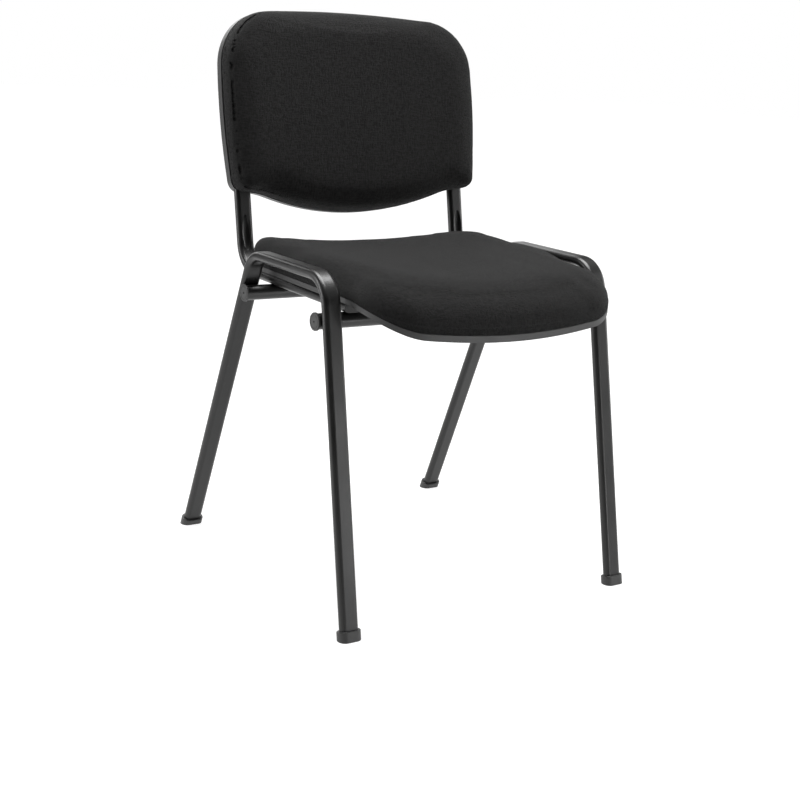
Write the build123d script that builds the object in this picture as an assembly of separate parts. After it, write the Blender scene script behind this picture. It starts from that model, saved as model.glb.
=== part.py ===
from build123d import *
import math
import os

# Stacking chair: two bent side frames, two cross tubes, two back uprights, a padded seat
# and a padded backrest. Millimetres, +Z up, front towards -Y, origin on the floor at the
# centre of the four feet.

# ---- tubes ----------------------------------------------------------------------------------
FRAME_WIDE = 28.0         # flat-oval tube of the side frames, wide way across the chair
FRAME_THICK = 14.0
UPRIGHT_WIDE = 26.0       # flat-oval tube of the back uprights
UPRIGHT_THICK = 13.0
CROSS_DIAMETER = 22.0     # round cross tubes
TUBE_WALL = 1.5
WELD_GAP = 0.05           # neighbours that are welded stand this far apart

# ---- side frames ----------------------------------------------------------------------------
FRAME_TOP_X = 231.9       # centre of the side rail
FRAME_FOOT_X = 235.7      # centre of the feet: the frames splay a little
FOOT_Y = 247.9            # the feet lie this far in front of and behind the origin
RAIL_FRONT = (-144.3, 475.2)   # y, z where the front leg's line meets the rail's
RAIL_REAR = (61.7, 472.6)
FRAME_BEND_FRONT = 44.0   # centre-line radii of the two bends
FRAME_BEND_REAR = 36.0

# ---- foot caps ------------------------------------------------------------------------------
CAP_WALL = 3.6
CAP_FLOOR = 3.5
CAP_HEIGHT = 13.0
CAP_ROUND = 1.2
CAP_CLEARANCE = 0.05

# ---- cross tubes and their plugs ------------------------------------------------------------
CROSS_Z = 416.0
CROSS_END_X = 246.4       # tube ends, nearly flush with the frames' outer faces
PLUG_FLANGE = 25.0
PLUG_FLANGE_THICK = 3.0
PLUG_DEPTH = 12.0
PLUG_DIMPLE = 2.4
PLUG_ROUND = 1.0
PLUG_WALL = 2.0
PLUG_GROOVE_INSET = 3.2   # a fine ring pressed into the flange's face
PLUG_GROOVE = 0.45

# ---- back uprights --------------------------------------------------------------------------
UPRIGHT_X = 196.0
UPRIGHT_FRONT_Y = -147.0  # front end of the run under the seat
UPRIGHT_CORNER_Y = 159.0  # where the run under the seat meets the upright's own line
UPRIGHT_BEND = 48.0
BACK_LEAN = 12.0          # degrees from vertical
DENT_CENTRE = 61.0        # pressed dent, this far below the backrest's corners
DENT_SIZE = (8.0, 5.0, 27.0)   # its semi-axes across, through and along the tube
OVAL_END = 6.0            # the oval section ends this far inside the backrest
PRESS_LENGTH = 24.0       # then flattens into the tongue over this length
TONGUE_WIDE = 30.0
TONGUE_THICK = 4.0
TONGUE_LENGTH = 120.0
TONGUE_SHIFT = 7.0        # the tongue lies this much further in than the tube

# ---- seat -----------------------------------------------------------------------------------
SEAT_HALF_WIDTH = 210.0
SEAT_REAR_HALF_WIDTH = 205.0
SEAT_FRONT_Y = -262.0
SEAT_WIDEST_Y = -165.0
SEAT_REAR_Y = 146.0
SEAT_FRONT_BOW = 22.0     # the front edge bows forward by this much
SEAT_REAR_BOW = 8.0
SEAT_FRONT_CORNER = 78.0
SEAT_REAR_CORNER = 56.0
SEAT_DROOP_Y = -150.0     # the front rolls down from here
SEAT_DROOP_RADIUS = 172.0
SEAT_SADDLE_RADIUS = 1200.0
SEAT_SADDLE_DEPTH = 17.0
SHELL_THICK = 2.5
SHELL_RIM = 7.0
BOARD_THICK = 10.0
BOARD_INSET = 3.0
SEAT_PAD_THICK = 33.0     # foam with its cover
COVER_THICK = 1.6
SEAT_EDGE_ROUND = 26.0
LAYER_GAP = 0.3

# ---- backrest -------------------------------------------------------------------------------
BACK_HALF_WIDTH = 222.0
BACK_LOW_HALF_WIDTH = 214.0
BACK_CORNER_Z = 545.0     # height of the two lower corners
BACK_HEIGHT = 276.0       # from the corners to the middle of the top edge, along the lean
BACK_TOP_BOW = 14.0
BACK_LOW_BOW = 33.0
BACK_LOW_FLAT = 42.0      # level stretch of the lower edge beside each corner
BACK_LOW_BLEND = 130.0    # radius where it turns into the bow
BACK_WIDEST = 120.0       # height of the widest place above the corners
BACK_TOP_CORNER = 86.0
BACK_LOW_CORNER = 19.0
BACK_CURVE = 1700.0       # plan radius: the sides come forward around the sitter
BACK_SHELL_DEPTH = 11.0   # outside of the shell behind the tubes' centre
BACK_RIM_FRONT = 1.0      # the rim reaches this far in front of the tubes' centre
BACK_BOARD_SETBACK = 1.5  # the board's rear face this far in front of the rim
BACK_PAD_THICK = 28.0
BACK_EDGE_ROUND = 16.0

# ---- fasteners ------------------------------------------------------------------------------
SCREW_DIAMETER = 6.0
SCREW_HEAD = 12.0
SCREW_HEAD_THICK = 3.4
SCREW_HEAD_ROUND = 1.6
SCREW_GAP = 0.05          # a head stands this far off what it clamps
HEX_SOCKET = 4.0
HEX_SOCKET_DEPTH = 2.0
HOLE_DIAMETER = 6.6
HOLE_CLEARANCE = 0.2
SEAT_SCREW_X = 192.0
SEAT_SCREW_Y = (-95.0, 25.0)
BACK_SCREW_UP = (58.0, 112.0)  # heights above the backrest's corners
TEE_NUT_FLANGE = 16.0
TEE_NUT_FLANGE_THICK = 1.2
TEE_NUT_BARREL = 8.0
TEE_NUT_BARREL_LENGTH = 8.0
TAPPING_SCREW = 3.6
TAPPING_HEAD = 7.5
TAPPING_LENGTH = 11.0
TAPPING_SPOTS = ((-120.0, -150.0), (120.0, -150.0), (-120.0, 105.0), (120.0, 105.0))
CLIP_DIAMETER = 5.0
CLIP_HEAD = 9.0
CLIP_HEAD_THICK = 0.8
CLIP_BOSS = 12.0          # the shell's bosses that the clips push into
CLIP_BOSS_HEIGHT = 6.0
TAPPING_HEAD_THICK = 1.8
CLIP_SPOTS = ((-120.0, 25.0), (120.0, 25.0), (-120.0, 235.0), (120.0, 235.0))

UPRIGHT_Z = CROSS_Z + CROSS_DIAMETER / 2 + UPRIGHT_THICK / 2 + WELD_GAP
SEAT_BASE_Z = UPRIGHT_Z + UPRIGHT_THICK / 2 + LAYER_GAP
SEAT_BOARD_TOP = SEAT_BASE_Z + SHELL_THICK + LAYER_GAP + BOARD_THICK
SEAT_TOP = SHELL_THICK + BOARD_THICK + SEAT_PAD_THICK
FRONT_SLOPE = (FOOT_Y + RAIL_FRONT[0]) / RAIL_FRONT[1]
REAR_SLOPE = (FOOT_Y - RAIL_REAR[0]) / RAIL_REAR[1]
SPLAY = math.degrees(math.atan((FRAME_FOOT_X - FRAME_TOP_X) / RAIL_FRONT[1]))
BACK_ORIGIN_Y = UPRIGHT_CORNER_Y + (BACK_CORNER_Z - UPRIGHT_Z) * math.tan(math.radians(BACK_LEAN))
BACK_PLACE = Location((0, BACK_ORIGIN_Y, BACK_CORNER_Z), (-BACK_LEAN, 0, 0))
TONGUE_X = UPRIGHT_X - TONGUE_SHIFT
BACK_ARC_Y = BACK_CURVE - math.sqrt(BACK_CURVE ** 2 - TONGUE_X ** 2)
TONGUE_TURN = math.degrees(math.asin(TONGUE_X / BACK_CURVE))
BACK_BOARD_FRONT = -BACK_RIM_FRONT - BACK_BOARD_SETBACK - BOARD_THICK
BACK_FRONT = BACK_BOARD_FRONT - BACK_PAD_THICK
BIG = 700.0               # larger than the chair in every cutting shape


# ---- helpers --------------------------------------------------------------------------------
def tube_along(path, wide, thick):
    """A hollow flat-oval tube: its wide way stays along X."""
    start = Plane(origin=path @ 0, x_dir=(1, 0, 0), z_dir=path % 0)
    outer = sweep(start * SlotOverall(wide, thick), path=path)
    bore = sweep(start * SlotOverall(wide - 2 * TUBE_WALL, thick - 2 * TUBE_WALL), path=path)
    return outer, bore


def above(height):
    """Everything over a level plane."""
    return Pos(0, 0, height + BIG) * Box(2 * BIG, 2 * BIG, 2 * BIG)


def side(shape, sign):
    """The shape for the right-hand side, or its mirror image for the left."""
    return shape if sign > 0 else shape.mirror(Plane.YZ)


def both_sides(name, shape):
    return {f"left_{name}": side(shape, -1), f"right_{name}": shape}


# ---- side frames ----------------------------------------------------------------------------
def tilt_to_side(shape):
    """Takes a shape made in the plane X = 0 to the right side frame's plane."""
    hinge = Pos(FRAME_TOP_X, 0, RAIL_FRONT[1])
    return hinge * Rot(0, -SPLAY, 0) * Pos(0, 0, -RAIL_FRONT[1]) * shape


def foot_point(slope, rail, direction, height):
    """A point on a leg's centre line at a height above the floor."""
    return (0, rail[0] + direction * slope * (rail[1] - height), height)


def side_frame():
    below = -CAP_HEIGHT  # the legs are drawn past the floor, then cut level
    path = FilletPolyline(
        foot_point(FRONT_SLOPE, RAIL_FRONT, -1, below),
        (0, *RAIL_FRONT),
        (0, *RAIL_REAR),
        foot_point(REAR_SLOPE, RAIL_REAR, 1, below),
        radius=[FRAME_BEND_FRONT, FRAME_BEND_REAR],
    )
    outer, bore = tube_along(path, FRAME_WIDE, FRAME_THICK)
    return tilt_to_side(outer - bore) & above(CAP_FLOOR + CAP_CLEARANCE)


def foot_cap(slope, rail, direction):
    """A cup pushed over the end of a leg, cut level where it stands on the floor."""
    axis = Vector(0, -direction * slope, 1).normalized()
    base = Plane(origin=foot_point(slope, rail, direction, 0), x_dir=(1, 0, 0), z_dir=axis)
    body = extrude(base * SlotOverall(FRAME_WIDE + 2 * CAP_WALL, FRAME_THICK + 2 * CAP_WALL),
                   amount=CAP_HEIGHT)
    body += extrude(base * SlotOverall(FRAME_WIDE + 2 * CAP_WALL, FRAME_THICK + 2 * CAP_WALL),
                    amount=-CAP_HEIGHT)
    body = fillet(body.faces().sort_by(Axis.Z)[-1].edges(), CAP_ROUND)
    hollow = SlotOverall(FRAME_WIDE + 2 * CAP_CLEARANCE, FRAME_THICK + 2 * CAP_CLEARANCE)
    pocket = extrude(base * hollow, amount=2 * CAP_HEIGHT, both=True)
    body = tilt_to_side(body) & above(0)
    return body - (tilt_to_side(pocket) & above(CAP_FLOOR))


# ---- cross tubes ----------------------------------------------------------------------------
def cross_y(slope, rail, direction):
    """Where a cross tube touches the inner side of the sloping legs."""
    reach = (FRAME_THICK + CROSS_DIAMETER) / 2 + WELD_GAP
    leg_y = foot_point(slope, rail, direction, CROSS_Z)[1]
    return leg_y - direction * reach / math.cos(math.atan(slope))


def cross_tube(y):
    tube = Cylinder(CROSS_DIAMETER / 2, 2 * CROSS_END_X)
    tube -= Cylinder(CROSS_DIAMETER / 2 - TUBE_WALL, 2 * CROSS_END_X)
    return Pos(0, y, CROSS_Z) * Rot(0, 90, 0) * tube


def cross_plug(y):
    """A round insert: flange outside the tube, stem inside, a small dimple in the middle."""
    flange = Pos(0, 0, PLUG_FLANGE_THICK / 2) * Cylinder(PLUG_FLANGE / 2, PLUG_FLANGE_THICK)
    flange = fillet(flange.edges().sort_by(Axis.Z)[-1], PLUG_ROUND)
    groove = Pos(0, 0, PLUG_FLANGE_THICK) * Torus(PLUG_FLANGE / 2 - PLUG_GROOVE_INSET, PLUG_GROOVE)
    dimple = Pos(0, 0, PLUG_FLANGE_THICK) * Cone(PLUG_DIMPLE / 2, PLUG_DIMPLE, PLUG_DIMPLE)
    stem_radius = CROSS_DIAMETER / 2 - TUBE_WALL - CAP_CLEARANCE
    stem = Cylinder(stem_radius, PLUG_DEPTH)
    stem -= Pos(0, 0, -PLUG_WALL) * Cylinder(stem_radius - PLUG_WALL, PLUG_DEPTH)
    plug = flange - groove - dimple + Pos(0, 0, -PLUG_DEPTH / 2) * stem
    return Pos(CROSS_END_X + CAP_CLEARANCE, y, CROSS_Z) * Rot(0, 90, 0) * plug


# ---- back uprights --------------------------------------------------------------------------
def upright_path():
    top = BACK_PLACE * Pos(0, 0, OVAL_END)
    return FilletPolyline(
        (0, UPRIGHT_FRONT_Y, UPRIGHT_Z),
        (0, UPRIGHT_CORNER_Y, UPRIGHT_Z),
        top.position,
        radius=UPRIGHT_BEND,
    )


def upright_tongue():
    """The tube pressed flat: a twisted transition, then a plate with two screw holes."""
    oval = BACK_PLACE * Pos(UPRIGHT_X, 0, OVAL_END) * SlotOverall(UPRIGHT_WIDE, UPRIGHT_THICK)
    plate_place = BACK_PLACE * Pos(TONGUE_X, 0, OVAL_END + PRESS_LENGTH) * Rot(0, 0, -TONGUE_TURN)
    flat = plate_place * SlotOverall(TONGUE_WIDE, TONGUE_THICK)
    press = loft([oval, flat])
    plate = extrude(flat, amount=TONGUE_LENGTH)
    end = plate_place * Pos(0, 0, TONGUE_LENGTH)
    rounding = Pos(0, 0, -TONGUE_WIDE / 2) * Rot(90, 0, 0) * Cylinder(TONGUE_WIDE / 2, 22)
    corners = end * (Box(TONGUE_WIDE + 2, 20, TONGUE_WIDE) - rounding)
    return press + (plate - corners)


def back_spot(x, up, depth):
    """A place square to the curved back, +Z forwards; depth counts back from the middle surface."""
    turn = math.degrees(math.asin(x / BACK_CURVE))
    y = BACK_ARC_Y - (BACK_CURVE - math.sqrt(BACK_CURVE ** 2 - x ** 2))
    return BACK_PLACE * Pos(x, y, up) * Rot(0, 0, -turn) * Rot(90, 0, 0) * Pos(0, 0, -depth)


def back_hole(x, up, diameter, length):
    return back_spot(x, up, 0) * Cylinder(diameter / 2, length)


def back_upright():
    outer, bore = tube_along(upright_path(), UPRIGHT_WIDE, UPRIGHT_THICK)
    place = BACK_PLACE * Pos(0, -UPRIGHT_THICK / 2, -DENT_CENTRE)
    ball = Sphere(1.0)
    dent = place * scale(ball, by=DENT_SIZE)
    wall = tuple(axis + TUBE_WALL for axis in DENT_SIZE)
    pressed = place * scale(ball, by=wall)
    tube = Pos(UPRIGHT_X, 0, 0) * ((outer - dent) - (bore - pressed))
    upright = tube + upright_tongue()
    for y in SEAT_SCREW_Y:
        upright -= Pos(SEAT_SCREW_X, y, UPRIGHT_Z) * Cylinder(HOLE_DIAMETER / 2, 2 * UPRIGHT_THICK)
    for up in BACK_SCREW_UP:
        upright -= back_hole(TONGUE_X, up, HOLE_DIAMETER, 30)
    return upright


def upright_plug():
    """An oval insert in the front end of the run under the seat."""
    flange = Plane(origin=(UPRIGHT_X, UPRIGHT_FRONT_Y, UPRIGHT_Z), x_dir=(1, 0, 0), z_dir=(0, -1, 0))
    flange_face = flange.offset(CAP_CLEARANCE) * SlotOverall(UPRIGHT_WIDE, UPRIGHT_THICK)
    bore = 2 * (TUBE_WALL + CAP_CLEARANCE)
    stem_face = flange.offset(CAP_CLEARANCE) * SlotOverall(UPRIGHT_WIDE - bore, UPRIGHT_THICK - bore)
    head = extrude(flange_face, amount=PLUG_FLANGE_THICK)
    head = fillet(head.faces().sort_by(Axis.Y)[0].edges(), PLUG_ROUND)
    return head + extrude(stem_face, amount=-PLUG_DEPTH)


# ---- seat -----------------------------------------------------------------------------------
def seat_outline(inset):
    """The seat seen from above: straight tapering sides, bowed front and rear."""
    front_y = SEAT_FRONT_Y + SEAT_FRONT_BOW
    rear_y = SEAT_REAR_Y - SEAT_REAR_BOW
    edges = [
        ThreePointArc((-SEAT_HALF_WIDTH, front_y), (0, SEAT_FRONT_Y), (SEAT_HALF_WIDTH, front_y)),
        Line((SEAT_HALF_WIDTH, front_y), (SEAT_HALF_WIDTH, SEAT_WIDEST_Y)),
        Line((SEAT_HALF_WIDTH, SEAT_WIDEST_Y), (SEAT_REAR_HALF_WIDTH, rear_y)),
        ThreePointArc((SEAT_REAR_HALF_WIDTH, rear_y), (0, SEAT_REAR_Y),
                      (-SEAT_REAR_HALF_WIDTH, rear_y)),
        Line((-SEAT_REAR_HALF_WIDTH, rear_y), (-SEAT_HALF_WIDTH, SEAT_WIDEST_Y)),
        Line((-SEAT_HALF_WIDTH, SEAT_WIDEST_Y), (-SEAT_HALF_WIDTH, front_y)),
    ]
    face = make_face(edges)
    front = face.vertices().group_by(Axis.Y)[0]
    face = fillet(front, SEAT_FRONT_CORNER)
    rear = face.vertices().group_by(Axis.Y)[-1]
    face = fillet(rear, SEAT_REAR_CORNER)
    return offset(face, amount=-inset) if inset else face


def seat_column(inset):
    return extrude(seat_outline(inset), amount=BIG)


def seat_layer(low, high):
    """The space between two heights above the seat's base, rolling down at the front."""
    rear = SEAT_REAR_Y + 40.0
    middle = (SEAT_DROOP_Y + rear) / 2
    flat = Pos(0, middle, SEAT_BASE_Z + (low + high) / 2) * Box(BIG, rear - SEAT_DROOP_Y, high - low)
    drum = Cylinder(SEAT_DROOP_RADIUS + high, BIG) - Cylinder(SEAT_DROOP_RADIUS + low, BIG)
    drum = Pos(0, SEAT_DROOP_Y, SEAT_BASE_Z - SEAT_DROOP_RADIUS) * Rot(0, 90, 0) * drum
    front = Pos(0, SEAT_DROOP_Y - BIG / 2, SEAT_BASE_Z) * Box(BIG, BIG, BIG / 2)
    return flat + (drum & front)


def saddle(top):
    """The hollow across the seat, at a height above the base."""
    height = SEAT_BASE_Z + top - SEAT_SADDLE_DEPTH + SEAT_SADDLE_RADIUS
    return Pos(0, 0, height) * Rot(90, 0, 0) * Cylinder(SEAT_SADDLE_RADIUS, 2 * BIG)


def seat_holes(diameter):
    spots = [(sign * SEAT_SCREW_X, y) for sign in (-1, 1) for y in SEAT_SCREW_Y]
    return [Pos(x, y, SEAT_BASE_Z) * Cylinder(diameter / 2, 60) for x, y in spots]


def tapping_holes():
    return [Pos(x, y, SEAT_BASE_Z) * Cylinder((TAPPING_SCREW + HOLE_CLEARANCE) / 2, 2 * TAPPING_LENGTH)
            for x, y in TAPPING_SPOTS]


def seat_shell():
    shell = seat_layer(0, SHELL_RIM) & seat_column(0)
    shell -= seat_layer(SHELL_THICK, SHELL_RIM + 1) & seat_column(SHELL_THICK)
    return shell - seat_holes(HOLE_DIAMETER) - tapping_holes()


def seat_board():
    low = SHELL_THICK + LAYER_GAP
    board = seat_layer(low, low + BOARD_THICK) & seat_column(BOARD_INSET)
    board -= seat_holes(TEE_NUT_BARREL + HOLE_CLEARANCE)
    return board - tapping_holes()


def seat_cushion(inset, low, high):
    """The padding's outer shape, hollowed across and rounded along its upper edge."""
    block = seat_layer(low, high) & seat_column(inset)
    tops = block.faces().filter_by(lambda face: face.normal_at(face.center()).Z > 0.5)
    rim = tops.edges().filter_by(lambda edge: abs(edge.center().Y - SEAT_DROOP_Y) > 1)
    return fillet(rim, SEAT_EDGE_ROUND - inset) - saddle(high)


def seat_foam():
    low = SHELL_THICK + BOARD_THICK + 2 * LAYER_GAP
    foam = seat_cushion(COVER_THICK + LAYER_GAP, low, SEAT_TOP - COVER_THICK - LAYER_GAP)
    return foam - seat_tee_nut_pockets()


def seat_cover():
    """Fabric over the foam and round the board's edge, down to the shell's rim."""
    low = SHELL_RIM + LAYER_GAP
    skin = seat_cushion(0, low, SEAT_TOP)
    return skin - seat_cushion(COVER_THICK, low - 1, SEAT_TOP - COVER_THICK)


def socket_screw(length):
    """A button-head screw pointing along +Z from its head's seat at the origin."""
    head = Pos(0, 0, -SCREW_HEAD_THICK / 2) * Cylinder(SCREW_HEAD / 2, SCREW_HEAD_THICK)
    head = fillet(head.edges().sort_by(Axis.Z)[0], SCREW_HEAD_ROUND)
    socket = extrude(RegularPolygon(HEX_SOCKET / 2, 6), amount=HEX_SOCKET_DEPTH)
    socket = Pos(0, 0, -SCREW_HEAD_THICK) * socket
    shank = Pos(0, 0, length / 2) * Cylinder(SCREW_DIAMETER / 2, length)
    return head - socket + shank


def tee_nut():
    """A flange on top, barrel down into the board, bored for the screw; origin at the flange."""
    flange = Pos(0, 0, TEE_NUT_FLANGE_THICK / 2) * Cylinder(TEE_NUT_FLANGE / 2, TEE_NUT_FLANGE_THICK)
    barrel = Pos(0, 0, -TEE_NUT_BARREL_LENGTH / 2) * Cylinder(TEE_NUT_BARREL / 2, TEE_NUT_BARREL_LENGTH)
    return flange + barrel - Cylinder(SCREW_DIAMETER / 2 + SCREW_GAP, 2 * TEE_NUT_BARREL_LENGTH)


def seat_spots(height):
    return [Pos(sign * SEAT_SCREW_X, y, height) for sign in (-1, 1) for y in SEAT_SCREW_Y]


def tee_nut_pocket():
    """Room in the foam for a tee nut's flange."""
    radius = TEE_NUT_FLANGE / 2 + LAYER_GAP
    return Cylinder(radius, 2 * (TEE_NUT_FLANGE_THICK + LAYER_GAP))


def seat_tee_nut_pockets():
    return [spot * tee_nut_pocket() for spot in seat_spots(SEAT_BOARD_TOP)]


def seat_tee_nuts():
    return Compound(children=[spot * tee_nut() for spot in seat_spots(SEAT_BOARD_TOP)])


def seat_screws():
    under = UPRIGHT_Z - UPRIGHT_THICK / 2
    length = UPRIGHT_THICK + SHELL_THICK + BOARD_THICK
    return Compound(children=[spot * socket_screw(length) for spot in seat_spots(under - SCREW_GAP)])


def tapping_screw():
    head = Pos(0, 0, -TAPPING_HEAD_THICK / 2) * Cone(TAPPING_HEAD / 4, TAPPING_HEAD / 2,
                                                     TAPPING_HEAD_THICK)
    shank = Pos(0, 0, TAPPING_LENGTH / 2) * Cylinder(TAPPING_SCREW / 2, TAPPING_LENGTH)
    return head + shank


def seat_drop(y):
    """How far the seat's base has rolled down at a place near the front."""
    reach = max(SEAT_DROOP_Y - y, 0)
    return SEAT_DROOP_RADIUS - math.sqrt(SEAT_DROOP_RADIUS ** 2 - reach ** 2)


def seat_shell_screws():
    spots = [Pos(x, y, SEAT_BASE_Z - SCREW_GAP - seat_drop(y)) for x, y in TAPPING_SPOTS]
    return Compound(children=[spot * tapping_screw() for spot in spots])


# ---- backrest -------------------------------------------------------------------------------
def back_outline(inset):
    """The backrest seen square on, in its own frame: X across, Z up from its lower corners."""
    shoulder = BACK_HEIGHT - BACK_TOP_BOW
    bow_end = BACK_LOW_HALF_WIDTH - BACK_LOW_FLAT
    edges = [
        Line((-BACK_LOW_HALF_WIDTH, 0), (-bow_end, 0)),
        ThreePointArc((-bow_end, 0), (0, -BACK_LOW_BOW), (bow_end, 0)),
        Line((bow_end, 0), (BACK_LOW_HALF_WIDTH, 0)),
        ThreePointArc((BACK_LOW_HALF_WIDTH, 0), (BACK_HALF_WIDTH, BACK_WIDEST),
                      (BACK_LOW_HALF_WIDTH, shoulder)),
        ThreePointArc((BACK_LOW_HALF_WIDTH, shoulder), (0, BACK_HEIGHT),
                      (-BACK_LOW_HALF_WIDTH, shoulder)),
        ThreePointArc((-BACK_LOW_HALF_WIDTH, shoulder), (-BACK_HALF_WIDTH, BACK_WIDEST),
                      (-BACK_LOW_HALF_WIDTH, 0)),
    ]
    face = make_face(edges)
    face = fillet(face.vertices().group_by(Axis.Y)[-1], BACK_TOP_CORNER)
    low = face.vertices().group_by(Axis.Y)[0].sort_by(Axis.X)
    face = fillet(low[1:3], BACK_LOW_BLEND)
    low = face.vertices().filter_by(lambda v: abs(abs(v.X) - BACK_LOW_HALF_WIDTH) < 0.01 and v.Y < 1)
    face = fillet(low, BACK_LOW_CORNER)
    return offset(face, amount=-inset) if inset else face


def back_column(inset):
    return extrude(Plane.XZ * back_outline(inset), amount=BIG / 2, both=True)


def back_layer(front, rear):
    """The space between two distances behind the curved middle surface of the backrest."""
    drum = Cylinder(BACK_CURVE + rear, BIG) - Cylinder(BACK_CURVE + front, BIG)
    drum = Pos(0, BACK_ARC_Y - BACK_CURVE, BIG / 4) * drum
    return drum & Pos(0, 0, BIG / 4) * Box(BIG, BIG, BIG)


def upright_entries(room):
    """Openings at the lower edge, where the uprights come in and flatten towards the middle."""
    section = SlotOverall(UPRIGHT_WIDE + 1 + room, UPRIGHT_THICK + 1)
    slot = extrude(section, amount=OVAL_END + PRESS_LENGTH) + extrude(section, amount=-40)
    return [BACK_PLACE * Pos(sign * (UPRIGHT_X - room / 2), 0, 0) * slot for sign in (-1, 1)]


def back_shell():
    shell = back_layer(-BACK_RIM_FRONT, BACK_SHELL_DEPTH) & back_column(0)
    inner = back_layer(-BACK_RIM_FRONT - 1, BACK_SHELL_DEPTH - SHELL_THICK) & back_column(SHELL_THICK)
    shell -= inner
    bosses = back_layer(BACK_SHELL_DEPTH - SHELL_THICK - CLIP_BOSS_HEIGHT, BACK_SHELL_DEPTH - 1)
    for x, up in CLIP_SPOTS:
        shell += bosses & (Pos(x, 0, up) * Rot(90, 0, 0) * Cylinder(CLIP_BOSS / 2, 100))
    shell = BACK_PLACE * shell - upright_entries(0)
    for x, up in CLIP_SPOTS:
        shell -= back_hole(x, up, CLIP_DIAMETER + HOLE_CLEARANCE, 2 * (BACK_SHELL_DEPTH - SHELL_THICK))
    return shell


def back_board():
    layer = back_layer(BACK_BOARD_FRONT, BACK_BOARD_FRONT + BOARD_THICK)
    board = BACK_PLACE * (layer & back_column(BOARD_INSET))
    board -= upright_entries(TONGUE_SHIFT + 2)
    for sign in (-1, 1):
        for up in BACK_SCREW_UP:
            board -= back_hole(sign * TONGUE_X, up, TEE_NUT_BARREL + HOLE_CLEARANCE, 60)
    for x, up in CLIP_SPOTS:
        board -= back_hole(x, up, CLIP_DIAMETER + HOLE_CLEARANCE, 60)
    return board


def back_cushion(inset, front, rear):
    """The padding's outer shape, rounded along its front edge."""
    block = back_layer(front, rear) & back_column(inset)
    face = block.faces().sort_by(SortBy.AREA)[-2:].sort_by(Axis.Y)[0]
    return BACK_PLACE * fillet(face.edges(), BACK_EDGE_ROUND - inset)


def back_foam():
    gap = COVER_THICK + LAYER_GAP
    foam = back_cushion(gap, BACK_FRONT + gap, BACK_BOARD_FRONT - LAYER_GAP)
    return foam - back_tee_nut_pockets()


def back_cover():
    """Fabric over the foam and round the board's edge, back to the shell's rim."""
    rear = -BACK_RIM_FRONT - LAYER_GAP
    skin = back_cushion(0, BACK_FRONT, rear)
    skin -= back_cushion(COVER_THICK, BACK_FRONT + COVER_THICK, rear + 1)
    return skin - upright_entries(0)


def back_screw_spots(depth):
    return [back_spot(sign * TONGUE_X, up, depth) for sign in (-1, 1) for up in BACK_SCREW_UP]


def back_screws():
    seat = TONGUE_THICK / 2 + SCREW_GAP
    length = seat - BACK_BOARD_FRONT - 1.0
    return Compound(children=[spot * socket_screw(length) for spot in back_screw_spots(seat)])


def back_tee_nuts():
    return Compound(children=[spot * tee_nut() for spot in back_screw_spots(BACK_BOARD_FRONT - 0.1)])


def back_tee_nut_pockets():
    return [spot * tee_nut_pocket() for spot in back_screw_spots(BACK_BOARD_FRONT)]


def shell_clip():
    """A push-in stud: collar between shell and board, one end in each."""
    collar = Pos(0, 0, -2 * CLIP_HEAD_THICK) * Cylinder(CLIP_HEAD / 2, CLIP_HEAD_THICK)
    front = Pos(0, 0, 4.5) * Cylinder(CLIP_DIAMETER / 2, 11)
    rear = Pos(0, 0, -4.0) * Cylinder(CLIP_DIAMETER / 2, 6)
    return collar + front + rear


def back_shell_clips():
    return Compound(children=[back_spot(x, up, 0) * shell_clip() for x, up in CLIP_SPOTS])


# ---- the chair ------------------------------------------------------------------------------
def build_chair():
    nodes = {}
    nodes.update(both_sides("side_frame", side_frame()))
    nodes.update(both_sides("back_upright", back_upright()))
    nodes.update(both_sides("upright_plug", upright_plug()))
    for name, slope, rail, direction in (("front", FRONT_SLOPE, RAIL_FRONT, -1),
                                         ("rear", REAR_SLOPE, RAIL_REAR, 1)):
        y = cross_y(slope, rail, direction)
        nodes[f"{name}_cross_tube"] = cross_tube(y)
        nodes.update(both_sides(f"{name}_tube_plug", cross_plug(y)))
        nodes.update(both_sides(f"{name}_foot_cap", foot_cap(slope, rail, direction)))
    nodes["seat_shell"] = seat_shell()
    nodes["seat_board"] = seat_board()
    nodes["seat_foam"] = seat_foam()
    nodes["seat_cover"] = seat_cover()
    nodes["seat_screws"] = seat_screws()
    nodes["seat_tee_nuts"] = seat_tee_nuts()
    nodes["seat_shell_screws"] = seat_shell_screws()
    nodes["back_shell"] = back_shell()
    nodes["back_board"] = back_board()
    nodes["back_foam"] = back_foam()
    nodes["back_cover"] = back_cover()
    nodes["back_screws"] = back_screws()
    nodes["back_tee_nuts"] = back_tee_nuts()
    nodes["back_shell_clips"] = back_shell_clips()
    return nodes


os.makedirs("parts", exist_ok=True)
for node, shape in build_chair().items():
    export_step(shape, f"parts/{node}.step")
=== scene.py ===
import math

import bmesh
import bpy
import numpy as np
from mathutils import Matrix, Vector
from mathutils.bvhtree import BVHTree


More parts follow.
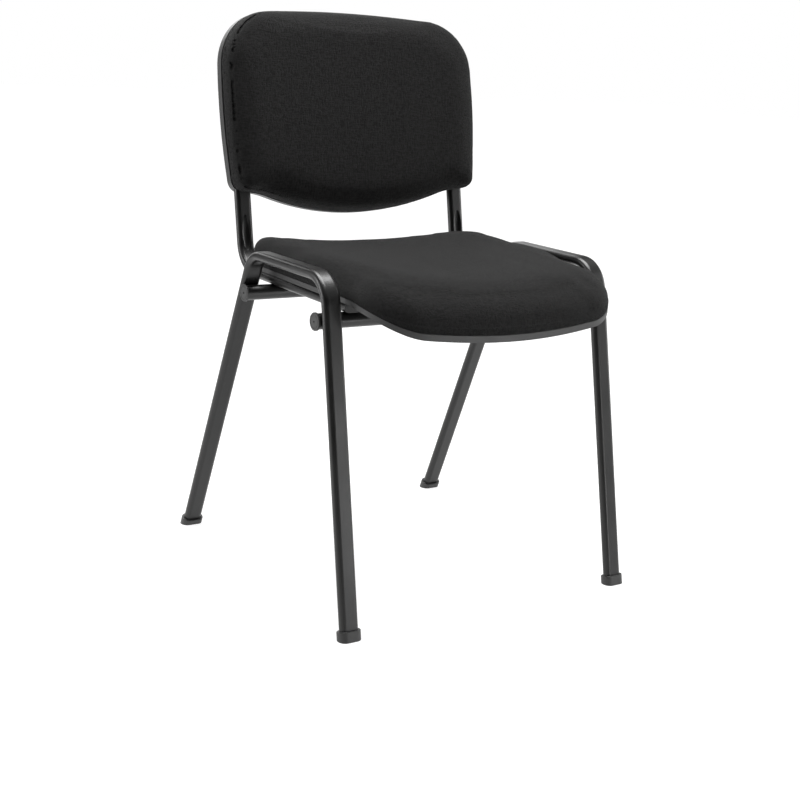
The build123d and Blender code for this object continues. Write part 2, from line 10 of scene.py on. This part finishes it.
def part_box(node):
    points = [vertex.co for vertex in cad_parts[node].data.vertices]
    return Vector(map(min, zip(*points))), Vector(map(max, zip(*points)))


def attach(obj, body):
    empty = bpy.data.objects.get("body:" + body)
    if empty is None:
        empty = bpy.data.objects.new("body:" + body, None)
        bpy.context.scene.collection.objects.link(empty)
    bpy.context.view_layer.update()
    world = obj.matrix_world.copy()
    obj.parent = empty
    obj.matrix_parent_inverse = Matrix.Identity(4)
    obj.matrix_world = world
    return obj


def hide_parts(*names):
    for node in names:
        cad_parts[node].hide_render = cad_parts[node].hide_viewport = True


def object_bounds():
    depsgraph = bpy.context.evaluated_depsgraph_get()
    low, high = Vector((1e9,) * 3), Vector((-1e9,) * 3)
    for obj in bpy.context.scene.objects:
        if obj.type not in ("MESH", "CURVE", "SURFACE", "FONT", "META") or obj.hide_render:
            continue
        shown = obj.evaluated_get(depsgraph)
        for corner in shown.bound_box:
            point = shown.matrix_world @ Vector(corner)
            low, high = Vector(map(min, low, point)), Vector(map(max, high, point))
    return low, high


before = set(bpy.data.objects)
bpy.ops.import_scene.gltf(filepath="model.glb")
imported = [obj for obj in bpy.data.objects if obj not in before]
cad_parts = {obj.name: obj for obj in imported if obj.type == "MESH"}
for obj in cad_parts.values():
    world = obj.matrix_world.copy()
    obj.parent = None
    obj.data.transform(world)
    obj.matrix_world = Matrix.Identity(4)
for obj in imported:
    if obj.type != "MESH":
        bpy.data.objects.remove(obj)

# The looks of a stacking chair: powder-coated tubes, moulded plastic shells and plugs, and a
# padded seat and backrest in a fine black crepe. Metres, +Z up, front towards -Y.

CAD_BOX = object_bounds()

# ---- camera and studio ---------------------------------------------------------------------
CAMERA_PLACE = Vector((-1.178072, -1.713811, 0.804424))
CAMERA_AZIMUTH = 34.31     # degrees from +Y towards +X
CAMERA_PITCH = 14.98       # degrees below the horizon
CAMERA_ROLL = 3.69
CAMERA_LENS = 63.09        # millimetres
CAMERA_SENSOR = 36.0

CHEST = (0, 0, 0.5)        # the lights and cards face this point
# Softboxes: name, place, width and height, watts.
SOFTBOXES = (("top_light", (0.15, 0.2, 2.5), (1.7, 1.6), 95),
             ("left_strip", (-2.3, 1.1, 1.0), (0.35, 1.8), 22),
             ("right_strip", (2.3, -1.0, 1.1), (0.5, 1.8), 16),
             ("rear_light", (0.6, 2.6, 1.8), (2.4, 1.0), 20))
# A small low strip that shines along the front legs: place, the point it faces, size, watts.
FRONT_STRIP = ((0.7, -1.5, 0.25), (-0.2, -0.2, 0.3), (0.14, 0.5), 3)
# Black cards beside the chair: place, then width and height.
REFLECTION_CARDS = (((-1.7, -0.9, 0.7), (1.1, 2.2)), ((1.3, -2.0, 0.6), (0.5, 2.2)),
                    ((1.9, 1.2, 0.7), (0.9, 2.2)), ((-0.9, 1.9, 0.6), (0.7, 2.2)))
SHADE_CARD = ((-0.7, -3.0, 1.3), (4.2, 2.6))

# The sky is white near the horizon and dimmer overhead.
SKY_DIM = 0.35
SKY_FADE = (0.28, 0.42)    # it fades between these heights on a sphere of radius 1

FLOOR_HALF_SIZE = 12.0
FLOOR_GAP = 0.0005         # the floor lies this far under the feet
FLOOR_GLOW = 0.90          # it glows a little, as a white sweep lit on its own does

# ---- padding -------------------------------------------------------------------------------
VOXEL = 0.004
PRESSURE = 4.0
SIM_FRAMES = 20
SEAT_SWELL = 0.006         # how far the seat's padding may swell
BACK_SWELL = 0.006
HELD = 0.0012              # fabric this close to its shell or board can't move
LOOSE = 0.008              # and past this distance it is free
WRAP_FACE = 0.00025        # fabric lies this far off the faces of the board that it is wrapped round
WRAP_EDGE = 0.0012         # and this far off its edges
WRAP_NEAR = 0.005          # only fabric this close to the board can cut across its edges
WRAP_ROUNDS = 2            # checks of the mesh's edges between its points
FACING = {"seat_board": Vector((0, 0, 1)), "back_board": Vector((0, 1, 0))}
FLAT_FACE = 0.7            # cosine: what slopes less than this from FACING is a face, not an edge
SMOOTH_ROUNDS = 16
SMOOTH_LIMIT = 0.0015
NO_SHRINK = (0.5, -0.53)   # each smoothing step and its way back, which keep a shape's size

OUTLINE_SECTORS = 240      # directions in which an outline's reach is found
SIDE_ROLL = 0.030          # the seat's top starts to roll off this far from its side edges
SIDE_DROP = 0.0015         # and is this much lower at the edge
FRONT_ROLL = 0.115         # the same at its front edge
FRONT_DROP = 0.022
SEAT_ROLL_FROM = -0.02     # the front's softer roll fades in between these two places
SEAT_ROLL_FULL = -0.19
SEAT_EDGE_FILL = 0.0058    # stuffing squares up the seat's rounded side and rear edges by this much
EDGE_FILL_FOCUS = 1.5      # the higher, the nearer to the middle of the rounding
REAR_BULGE = 0.014         # the seat's rear bulges out over the shell's rim
REAR_BULGE_FROM = 0.0      # growing between these two places
REAR_BULGE_FULL = 0.14
REAR_BULGE_SIDE = 0.65     # less sideways than backwards
REAR_BULGE_REACH = 0.055   # measured in from the seat's edge
REAR_BULGE_RISE = 0.35     # share of the cushion's height over which the bulge grows
BACK_ROLL = 0.050          # the backrest's front face rolls back this far from its edge
BACK_DROP = 0.002          # by this much at the edge
BACK_SIDE_SHARE = 0.5      # share of the backrest's depth that its cloth takes to go round its side

# ---- weave ---------------------------------------------------------------------------------
THREAD = 0.0011            # spacing of the crepe's threads
DRIFT = 0.007              # threads wander sideways over about this length
RIB = 0.0027               # width of the crinkled ribs that run along the cloth
SLUB = 0.0025              # and of the thicker threads across it


# ---- mesh helpers --------------------------------------------------------------------------
def new_piece(name, mesh):
    piece = bpy.data.objects.new(name, mesh)
    bpy.context.scene.collection.objects.link(piece)
    return piece


def points_of(mesh):
    flat = np.empty(len(mesh.vertices) * 3, np.float32)
    mesh.vertices.foreach_get("co", flat)
    return flat.reshape(-1, 3).astype(float)


def normals_of(mesh):
    flat = np.empty(len(mesh.vertices) * 3, np.float32)
    mesh.vertices.foreach_get("normal", flat)
    return flat.reshape(-1, 3).astype(float)


def set_points(mesh, points):
    mesh.vertices.foreach_set("co", points.astype(np.float32).ravel())
    mesh.update()


def joined_copy(name, nodes):
    """One new mesh that holds copies of these CAD nodes."""
    joined = bmesh.new()
    for node in nodes:
        joined.from_mesh(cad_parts[node].data)
    mesh = bpy.data.meshes.new(name)
    joined.to_mesh(mesh)
    joined.free()
    return new_piece(name, mesh)


def apply_modifiers(piece):
    graph = bpy.context.evaluated_depsgraph_get()
    mesh = bpy.data.meshes.new_from_object(piece.evaluated_get(graph))
    piece.modifiers.clear()
    piece.data = mesh
    mesh.name = piece.name


def keep_largest_island(piece):
    """Drops the small closed bubbles that remeshing leaves between layers."""
    shape = bmesh.new()
    shape.from_mesh(piece.data)
    shape.verts.ensure_lookup_table()
    seen = set()
    islands = []
    for start in shape.verts:
        if start.index in seen:
            continue
        seen.add(start.index)
        island = [start]
        for vert in island:
            for edge in vert.link_edges:
                other = edge.other_vert(vert)
                if other.index not in seen:
                    seen.add(other.index)
                    island.append(other)
        islands.append(island)
    islands.sort(key=len)
    spare = [vert for island in islands[:-1] for vert in island]
    bmesh.ops.delete(shape, geom=spare, context="VERTS")
    shape.to_mesh(piece.data)
    shape.free()


def remesh(piece, size):
    remesher = piece.modifiers.new("remesh", "REMESH")
    remesher.mode = "VOXEL"
    remesher.voxel_size = size
    apply_modifiers(piece)
    keep_largest_island(piece)


def edge_ends(mesh):
    ends = np.empty(len(mesh.edges) * 2, np.int64)
    mesh.edges.foreach_get("vertices", ends)
    return ends.reshape(-1, 2)


def relax(field, ends, free, rounds, steps=(0.5,)):
    """Averages a per-vertex field with its neighbours; free says how much each may change.

    Each round takes these steps towards the neighbours' mean, or back from it where one is negative."""
    count = np.bincount(ends.ravel(), minlength=len(field))[:, None]
    for step in steps * rounds:
        total = np.zeros_like(field)
        np.add.at(total, ends[:, 0], field[ends[:, 1]])
        np.add.at(total, ends[:, 1], field[ends[:, 0]])
        field = field + (total / count - field) * step * free[:, None]
    return field


def inflate(piece, hold):
    """Cloth under pressure from inside, held where the weights are 1."""
    group = piece.vertex_groups.new(name="held")
    for index, weight in enumerate(hold):
        if weight > 0:
            group.add([index], float(weight), "REPLACE")
    cloth = piece.modifiers.new("cloth", "CLOTH")
    cloth.settings.use_pressure = True
    cloth.settings.uniform_pressure_force = PRESSURE
    cloth.settings.effector_weights.gravity = 0.0
    cloth.settings.vertex_group_mass = "held"
    cloth.settings.quality = 4
    cloth.settings.tension_stiffness = 20.0
    cloth.settings.compression_stiffness = 20.0
    cloth.collision_settings.use_collision = False
    cloth.point_cache.frame_start = 1
    cloth.point_cache.frame_end = SIM_FRAMES
    for step in range(1, SIM_FRAMES + 1):
        bpy.context.scene.frame_set(step)
    apply_modifiers(piece)
    bpy.context.scene.frame_set(1)


def capped(change, limit):
    length = np.linalg.norm(change, axis=1, keepdims=True)
    return change * (limit * np.tanh(length / limit) / np.maximum(length, 1e-9))


def distance_to(nodes, points):
    """How far each point is from the nearest of these CAD nodes."""
    nearest = np.full(len(points), np.inf)
    for node in nodes:
        tree = BVHTree.FromObject(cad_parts[node], bpy.context.evaluated_depsgraph_get())
        found = [tree.find_nearest(point)[3] for point in points]
        nearest = np.minimum(nearest, found)
    return nearest


def wrapped_round(board, points, ends):
    """Moves points that lie too near a board, or inside it, out to its wrapping of fabric."""
    tree = BVHTree.FromObject(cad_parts[board], bpy.context.evaluated_depsgraph_get())
    face = FACING[board]
    near = np.zeros(len(points), bool)
    for index, point in enumerate(points):
        place, normal, _, distance = tree.find_nearest(point)
        near[index] = distance < WRAP_NEAR
        wrap = WRAP_FACE if abs(normal.dot(face)) > FLAT_FACE else WRAP_EDGE
        inside = (Vector(point) - place).dot(normal) < 0
        if inside or distance < wrap:
            points[index] = place + normal * wrap
    for _ in range(WRAP_ROUNDS):
        for first, second in ends[near[ends[:, 0]] & near[ends[:, 1]]]:
            middle = Vector((points[first] + points[second]) / 2)
            place, normal, _, distance = tree.find_nearest(middle)
            if (middle - place).dot(normal) < 0:
                points[first] += normal * (distance + WRAP_FACE)
                points[second] += normal * (distance + WRAP_FACE)
    return points


def padded_piece(part, rounding, swell):
    """The seat's or the backrest's cushion, made from its CAD solids.

    It is rounded off, then swollen like stuffed fabric, and held where the shell and board hold it."""
    piece = joined_copy(f"{part}_cushion", [f"{part}_cover", f"{part}_foam", f"{part}_board"])
    remesh(piece, VOXEL)
    rest = points_of(piece.data)
    ends = edge_ends(piece.data)
    gap = distance_to([f"{part}_shell", f"{part}_board"], rest)
    free = np.clip((gap - HELD) / (LOOSE - HELD), 0, 1)
    smooth = relax(rest, ends, np.ones(len(rest)), SMOOTH_ROUNDS, NO_SHRINK)
    rest = rest + capped(smooth - rest, SMOOTH_LIMIT)
    set_points(piece.data, rest)
    shift = relax(rounding(rest, normals_of(piece.data)), ends, np.ones(len(rest)), SMOOTH_ROUNDS)
    rest = rest + shift * free[:, None]
    set_points(piece.data, rest)
    inflate(piece, 1 - free)
    change = capped(points_of(piece.data) - rest, swell) * free[:, None]
    set_points(piece.data, rest + relax(change, ends, free, SMOOTH_ROUNDS))
    subdivide = piece.modifiers.new("subdivide", "SUBSURF")
    subdivide.levels = subdivide.render_levels = 1
    apply_modifiers(piece)
    set_points(piece.data, wrapped_round(f"{part}_board", points_of(piece.data), edge_ends(piece.data)))
    piece.data.shade_smooth()
    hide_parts(f"{part}_cover", f"{part}_foam")
    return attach(piece, "root")


# ---- material helpers ----------------------------------------------------------------------
class Finish:
    """A material's node tree, with one Principled shader at its end."""

    def __init__(self, name, **sockets):
        self.material = bpy.data.materials.new(name)
        self.material.use_nodes = True
        self.tree = self.material.node_tree
        self.shader = self.tree.nodes["Principled BSDF"]
        for socket, value in sockets.items():
            label = socket.replace("_", " ").title().replace("Ior", "IOR")
            self.shader.inputs[label].default_value = value

    def node(self, kind, settings=None, **sockets):
        """A new node; each socket, by its name or as n and its number, takes a value or an output."""
        made = self.tree.nodes.new(kind)
        for key, value in (settings or {}).items():
            setattr(made, key, value)
        for key, value in sockets.items():
            numbered = key[0] == "n" and key[1:].isdigit()
            self.put(made.inputs[int(key[1:]) if numbered else key], value)
        return made

    def put(self, socket, value):
        if isinstance(value, bpy.types.NodeSocket):
            self.tree.links.new(value, socket)
        else:
            socket.default_value = value

    def math(self, operation, first, second=0.0):
        return self.node("ShaderNodeMath", {"operation": operation}, n0=first, n1=second).outputs[0]

    def place(self):
        return self.node("ShaderNodeTexCoord").outputs["Object"]

    def stretched(self, vector, stretch, turn=(0, 0, 0)):
        return self.node("ShaderNodeMapping", Vector=vector, Scale=stretch, Rotation=turn).outputs[0]

    def noise(self, vector, size, detail=2.0, roughness=0.5):
        """Noise from 0 to 1 with features of about this size."""
        return self.node("ShaderNodeTexNoise", Vector=vector, Scale=1 / size, Detail=detail,
                         Roughness=roughness).outputs["Fac"]

    def ramp(self, value, low, high, out_low=0.0, out_high=1.0):
        made = self.node("ShaderNodeMapRange", {"interpolation_type": "SMOOTHSTEP"}, Value=value)
        made.inputs["From Min"].default_value = low
        made.inputs["From Max"].default_value = high
        made.inputs["To Min"].default_value = out_low
        made.inputs["To Max"].default_value = out_high
        return made.outputs[0]

    def mix(self, share, first, second):
        made = self.node("ShaderNodeMix", {"data_type": "RGBA"})
        self.put(made.inputs[0], share)
        self.put(made.inputs[6], first)
        self.put(made.inputs[7], second)
        return made.outputs[2]

    def colour(self, value):
        self.put(self.shader.inputs["Base Color"], value)

    def roughness(self, value):
        self.put(self.shader.inputs["Roughness"], value)

    def bump(self, height, depth, strength=1.0, under=None):
        """Bump of this depth in metres, on top of another bump if there is one."""
        made = self.node("ShaderNodeBump", Height=height, Distance=depth, Strength=strength)
        if under is not None:
            self.put(made.inputs["Normal"], under)
        return made.outputs[0]

    def normal(self, value):
        self.put(self.shader.inputs["Normal"], value)


def grey(level, warmth=0.0):
    return (level * (1 + warmth), level, level * (1 - warmth), 1.0)


# ---- materials -----------------------------------------------------------------------------
def powder_coat():
    """Satin black powder coat: orange peel, faint patches and rub marks down the tubes."""
    coat = Finish("powder_coat", specular_ior_level=0.5)
    place = coat.place()
    patches = coat.noise(place, 0.06, 3.0)
    peel = coat.noise(place, 0.0014, 2.0)
    rubs = coat.noise(coat.stretched(place, (1, 1, 0.05)), 0.004, 4.0)
    handled = coat.ramp(coat.noise(place, 0.09), 0.48, 0.62)
    worn = coat.math("MULTIPLY", coat.ramp(rubs, 0.60, 0.78), handled)
    base = coat.mix(coat.ramp(patches, 0.3, 0.7), grey(0.0045, 0.02), grey(0.0065, 0.02))
    coat.colour(coat.mix(coat.math("MULTIPLY", worn, 0.5), base, grey(0.020, 0.02)))
    smooth = coat.ramp(patches, 0.3, 0.7, 0.30, 0.38)
    coat.roughness(coat.math("ADD", smooth, coat.math("MULTIPLY", worn, 0.12)))
    coat.normal(coat.bump(peel, 0.00006, 0.6))
    return coat.material


def moulded_plastic(name, low, high, grain_size, grain_depth, rough=(0.42, 0.55)):
    """Moulded polypropylene: a fine leathery grain and slightly uneven colour."""
    plastic = Finish(name, specular_ior_level=0.5)
    place = plastic.place()
    cells = plastic.node("ShaderNodeTexVoronoi", {"feature": "SMOOTH_F1"}, Vector=place,
                         Scale=1 / grain_size).outputs["Distance"]
    clouds = plastic.noise(place, 0.035, 3.0)
    plastic.colour(plastic.mix(plastic.ramp(clouds, 0.3, 0.7), grey(low), grey(high)))
    plastic.roughness(plastic.ramp(clouds, 0.35, 0.65, *rough))
    plastic.normal(plastic.bump(plastic.math("ADD", cells, plastic.noise(place, grain_size * 0.6)),
                                grain_depth, 0.6))
    return plastic.material


def crepe():
    """Black crepe upholstery: uneven plain-weave threads, crinkled ribs, slubs and a soft sheen."""
    cloth = Finish("crepe_fabric", roughness=0.94, specular_ior_level=0.18, sheen_weight=0.16,
                   sheen_roughness=0.5)
    cloth.shader.inputs["Sheen Tint"].default_value = grey(0.25)
    sheet = cloth.node("ShaderNodeAttribute", {"attribute_name": "sheet"}).outputs["Vector"]
    drift = cloth.node("ShaderNodeTexNoise", Vector=sheet, Scale=1 / DRIFT, Detail=2.0).outputs["Color"]
    wander = cloth.node("ShaderNodeVectorMath", {"operation": "MULTIPLY_ADD"}, n0=drift,
                        n1=(THREAD, THREAD, 0.0), n2=sheet).outputs[0]
    part = cloth.node("ShaderNodeSeparateXYZ", Vector=wander)
    turn = 2 * math.pi / THREAD
    across = cloth.math("SINE", cloth.math("MULTIPLY", part.outputs["X"], turn))
    along = cloth.math("SINE", cloth.math("MULTIPLY", part.outputs["Y"], turn))
    threads = cloth.ramp(cloth.math("MULTIPLY", across, along), -1.0, 1.0)
    ribs = cloth.noise(cloth.stretched(sheet, (1.0, 0.30, 1.0)), RIB, 2.0, 0.6)
    slubs = cloth.noise(cloth.stretched(sheet, (0.25, 1.0, 1.0)), SLUB, 2.0)
    ribs = cloth.ramp(ribs, 0.36, 0.66, 0.0, 0.8)
    slubs = cloth.ramp(slubs, 0.36, 0.66, 0.0, 0.8)
    crinkle = cloth.math("ADD", ribs, slubs)
    fluff = cloth.noise(sheet, 0.0005, 2.0, 0.7)
    shade = cloth.noise(sheet, 0.045, 3.0)
    light = cloth.math("MULTIPLY", threads, 0.22)
    light = cloth.math("ADD", light, cloth.math("MULTIPLY", crinkle, 0.48))
    light = cloth.math("ADD", light, cloth.math("MULTIPLY", shade, 0.22))
    cloth.colour(cloth.mix(cloth.ramp(light, 0.1, 0.9), grey(0.0016), grey(0.0085, 0.01)))
    coarse = cloth.bump(crinkle, 0.0005, 0.6)
    weave = cloth.bump(threads, 0.0004, 0.6, coarse)
    cloth.normal(cloth.bump(fluff, 0.0002, 0.4, weave))
    return cloth.material


def plywood():
    """Poplar plywood: grain along the faces, thin plies seen along the edges."""
    wood = Finish("plywood", specular_ior_level=0.3)
    place = wood.place()
    grain = wood.noise(wood.stretched(place, (0.06, 1.0, 1.0)), 0.003, 4.0)
    plies = wood.node("ShaderNodeTexWave", {"bands_direction": "Z"}, Vector=place, Scale=130.0,
                      Distortion=0.6).outputs["Fac"]
    base = wood.mix(wood.ramp(grain, 0.35, 0.7), (0.52, 0.36, 0.20, 1), (0.68, 0.52, 0.33, 1))
    wood.colour(wood.mix(wood.math("MULTIPLY", plies, 0.35), base, (0.36, 0.22, 0.11, 1)))
    wood.roughness(wood.ramp(grain, 0.3, 0.7, 0.62, 0.8))
    wood.normal(wood.bump(grain, 0.0003, 0.5))
    return wood.material


def plated_steel(name, level, rough):
    """Plated steel with faint tumbling marks."""
    steel = Finish(name, metallic=1.0)
    place = steel.place()
    marks = steel.noise(place, 0.0012, 4.0)
    stains = steel.noise(place, 0.006, 2.0)
    steel.colour(steel.mix(steel.ramp(stains, 0.35, 0.7), grey(level * 0.8, 0.02), grey(level, 0.01)))
    steel.roughness(steel.ramp(marks, 0.3, 0.7, rough, rough + 0.15))
    steel.normal(steel.bump(marks, 0.00004, 0.5))
    return steel.material


def nylon():
    """Natural nylon, slightly milky."""
    clip = Finish("natural_nylon", subsurface_weight=0.2)
    place = clip.place()
    clouds = clip.noise(place, 0.004, 2.0)
    clip.colour(clip.mix(clouds, (0.66, 0.64, 0.57, 1), (0.76, 0.74, 0.68, 1)))
    clip.roughness(clip.ramp(clouds, 0.3, 0.7, 0.35, 0.5))
    clip.normal(clip.bump(clip.noise(place, 0.0008), 0.00003, 0.5))
    return clip.material


def paint_nodes(material, words):
    """Gives this material to every CAD node whose name has one of the words."""
    for name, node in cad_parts.items():
        if any(word in name for word in words):
            node.data.materials.clear()
            node.data.materials.append(material)


# ---- fabric sheet coordinates --------------------------------------------------------------
def store_sheet(mesh, sheet):
    """Keeps, at each point, its place on the flat cloth, so that the weave runs over the edges."""
    attribute = mesh.attributes.new("sheet", "FLOAT_VECTOR", "POINT")
    attribute.data.foreach_set("vector", sheet.astype(np.float32).ravel())


def wrapped(flat, normal, depth):
    """Plane coordinates that go on down the sides by their depth below the face."""
    reach = np.linalg.norm(normal, axis=1, keepdims=True)
    outward = normal / np.maximum(reach, 1e-6)
    return flat + outward * (depth[:, None] * np.clip(reach, 0, 1))


def seat_sheet(piece):
    points = points_of(piece.data)
    normals = normals_of(piece.data)
    top = points[:, 2].max()
    sheet = wrapped(points[:, :2], normals[:, :2], top - points[:, 2])
    store_sheet(piece.data, np.column_stack([sheet, np.zeros(len(sheet))]))


def back_sheet(piece):
    points = points_of(piece.data)
    normals = normals_of(piece.data)
    front = points[:, 1].min()
    depth = (points[:, 1] - front) * BACK_SIDE_SHARE
    sheet = wrapped(points[:, ::2], normals[:, ::2], depth)
    store_sheet(piece.data, np.column_stack([sheet, np.zeros(len(sheet))]))


# ---- upholstered pieces --------------------------------------------------------------------
def edge_distance(plan):
    """How far in from a shape's outline its points lie, measured towards its middle."""
    middle = (plan.min(axis=0) + plan.max(axis=0)) / 2
    arm = plan - middle
    reach = np.linalg.norm(arm, axis=1)
    angle = np.arctan2(arm[:, 1], arm[:, 0])
    sector = ((angle + math.pi) / (2 * math.pi) * OUTLINE_SECTORS).astype(int) % OUTLINE_SECTORS
    outline = np.zeros(OUTLINE_SECTORS)
    np.maximum.at(outline, sector, reach)
    centres = (np.arange(OUTLINE_SECTORS) + 0.5) / OUTLINE_SECTORS * 2 * math.pi - math.pi
    return np.interp(angle, centres, outline, period=2 * math.pi) - reach


def roll_off(distance, width, depth):
    """How far a surface drops beside its edge: an elliptical roll of this width and depth."""
    share = np.clip(1 - distance / width, 0, 1)
    return depth * (1 - np.sqrt(np.maximum(1 - share ** 2, 0)))


def eased(value, start, end):
    """0 before start, 1 after end, and a smooth step between them."""
    share = np.clip((value - start) / (end - start), 0, 1)
    return share * share * (3 - 2 * share)


def seat_rounding(points, normals):
    """The seat's front rolls down softly; its sides and rear are fuller, most of all at the corners."""
    low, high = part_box("seat_cover")
    front = eased(points[:, 1], SEAT_ROLL_FROM, SEAT_ROLL_FULL)
    distance = edge_distance(points[:, :2])
    width = SIDE_ROLL + (FRONT_ROLL - SIDE_ROLL) * front
    drop = roll_off(distance, width, SIDE_DROP + (FRONT_DROP - SIDE_DROP) * front)
    level = np.clip((points[:, 2] - low.z) / (high.z - low.z), 0, 1)
    up = np.clip(normals[:, 2], 0, 1)
    fill = SEAT_EDGE_FILL * (2 * up * np.sqrt(1 - up ** 2)) ** EDGE_FILL_FOCUS * (1 - front)
    shift = normals * fill[:, None]
    shift[:, 2] -= drop * level
    arm = points[:, :2] - np.array([low.x + high.x, low.y + high.y]) / 2
    bulge = REAR_BULGE * eased(points[:, 1], REAR_BULGE_FROM, REAR_BULGE_FULL)
    bulge *= eased(distance, REAR_BULGE_REACH, 0) * eased(level, 0, REAR_BULGE_RISE)
    outward = arm / np.linalg.norm(arm, axis=1, keepdims=True)
    shift[:, :2] += outward * bulge[:, None] * (REAR_BULGE_SIDE, 1)
    return shift


def back_rounding(points, normals):
    """The backrest's front face rolls back evenly towards its edge."""
    distance = edge_distance(points[:, ::2])
    set_back = roll_off(distance, BACK_ROLL, BACK_DROP)
    return np.column_stack([np.zeros_like(set_back), set_back, np.zeros_like(set_back)])


# ---- studio --------------------------------------------------------------------------------
def camera():
    turn, pitch, roll = (math.radians(a) for a in (CAMERA_AZIMUTH, CAMERA_PITCH, CAMERA_ROLL))
    level = Vector((math.sin(turn), math.cos(turn), 0))
    ahead = level * math.cos(pitch) - Vector((0, 0, math.sin(pitch)))
    right = Vector((math.cos(turn), -math.sin(turn), 0))
    up = right.cross(ahead)
    side = right * math.cos(roll) + up * math.sin(roll)
    top = up * math.cos(roll) - right * math.sin(roll)
    eye = bpy.data.objects.new("camera", bpy.data.cameras.new("camera"))
    bpy.context.scene.collection.objects.link(eye)
    axes = Matrix((side, top, -ahead)).transposed()
    eye.matrix_world = Matrix.Translation(CAMERA_PLACE) @ axes.to_4x4()
    eye.data.sensor_width = CAMERA_SENSOR
    eye.data.lens = CAMERA_LENS
    bpy.context.scene.camera = eye


def softbox(name, place, aim, size, power):
    """A large area light at a place, facing a point."""
    lamp = bpy.data.lights.new(name, "AREA")
    lamp.shape = "RECTANGLE"
    lamp.size, lamp.size_y = size
    lamp.energy = power
    box = bpy.data.objects.new(name, lamp)
    bpy.context.scene.collection.objects.link(box)
    box.location = place
    box.rotation_euler = (Vector(aim) - Vector(place)).to_track_quat("-Z", "Y").to_euler()


def grid_mesh(name, segments, half_size):
    """A flat square about its origin."""
    mesh = bpy.data.meshes.new(name)
    shape = bmesh.new()
    bmesh.ops.create_grid(shape, x_segments=segments, y_segments=segments, size=half_size)
    shape.to_mesh(mesh)
    shape.free()
    return mesh


def card(name, place, aim, size, shades):
    """A black card that the camera doesn't see: it darkens reflections, or shades the front too."""
    sheet = new_piece(name, grid_mesh(name, 1, 0.5))
    sheet.location = place
    sheet.scale = (*size, 1.0)
    sheet.rotation_euler = (Vector(aim) - Vector(place)).to_track_quat("-Z", "Y").to_euler()
    sheet.visible_camera = False
    sheet.visible_diffuse = sheet.visible_shadow = shades
    black = Finish("card_black", roughness=1.0, specular_ior_level=0.0)
    black.colour(black.mix(black.noise(black.place(), 0.1), grey(0.002), grey(0.004)))
    sheet.data.materials.append(black.material)


def sky():
    """A white horizon that fades to a dimmer sky overhead."""
    world = bpy.data.worlds.new("studio")
    world.use_nodes = True
    tree = world.node_tree
    background = tree.nodes["Background"]
    background.inputs["Color"].default_value = (1, 1, 1, 1)
    heading = tree.nodes.new("ShaderNodeTexCoord")
    split = tree.nodes.new("ShaderNodeSeparateXYZ")
    fade = tree.nodes.new("ShaderNodeMapRange")
    tree.links.new(heading.outputs["Generated"], split.inputs[0])
    tree.links.new(split.outputs["Z"], fade.inputs["Value"])
    fade.inputs["From Min"].default_value, fade.inputs["From Max"].default_value = SKY_FADE
    fade.inputs["To Min"].default_value, fade.inputs["To Max"].default_value = 1.0, SKY_DIM
    tree.links.new(fade.outputs[0], background.inputs["Strength"])
    bpy.context.scene.world = world


def studio():
    sky()
    for name, place, size, power in SOFTBOXES:
        softbox(name, place, CHEST, size, power)
    softbox("front_strip", *FRONT_STRIP)
    for number, (place, size) in enumerate(REFLECTION_CARDS):
        card(f"reflection_card_{number}", place, CHEST, size, shades=False)
    card("shade_card", SHADE_CARD[0], CHEST, SHADE_CARD[1], shades=True)
    white_floor()
    view = bpy.context.scene.view_settings
    view.view_transform = "Standard"
    view.look = "None"


def white_floor():
    floor = new_piece("floor", grid_mesh("floor", 8, FLOOR_HALF_SIZE))
    floor.location.z = CAD_BOX[0].z - FLOOR_GAP
    paint = Finish("floor_paint", roughness=0.7, specular_ior_level=0.1, emission_strength=FLOOR_GLOW)
    paint.shader.inputs["Emission Color"].default_value = grey(1.0)
    paint.colour(paint.mix(paint.noise(paint.place(), 0.4), grey(0.24), grey(0.26)))
    floor.data.materials.append(paint.material)


def main():
    studio()
    camera()
    cap_plastic = moulded_plastic("cap_plastic", 0.022, 0.030, 0.0009, 0.00008)
    shell_plastic = moulded_plastic("shell_plastic", 0.026, 0.034, 0.0012, 0.00012)
    paint_nodes(powder_coat(), ["side_frame", "back_upright", "cross_tube"])
    paint_nodes(cap_plastic, ["plug", "foot_cap"])
    paint_nodes(shell_plastic, ["seat_shell", "back_shell"])
    paint_nodes(plywood(), ["board"])
    paint_nodes(plated_steel("black_screw_steel", 0.10, 0.30), ["screws"])
    paint_nodes(plated_steel("zinc_steel", 0.62, 0.22), ["tee_nuts"])
    paint_nodes(nylon(), ["clips"])
    fabric = crepe()
    seat = padded_piece("seat", seat_rounding, SEAT_SWELL)
    seat_sheet(seat)
    back = padded_piece("back", back_rounding, BACK_SWELL)
    back_sheet(back)
    for cushion in (seat, back):
        cushion.data.materials.clear()
        cushion.data.materials.append(fabric)


main()
bpy.context.view_layer.update()
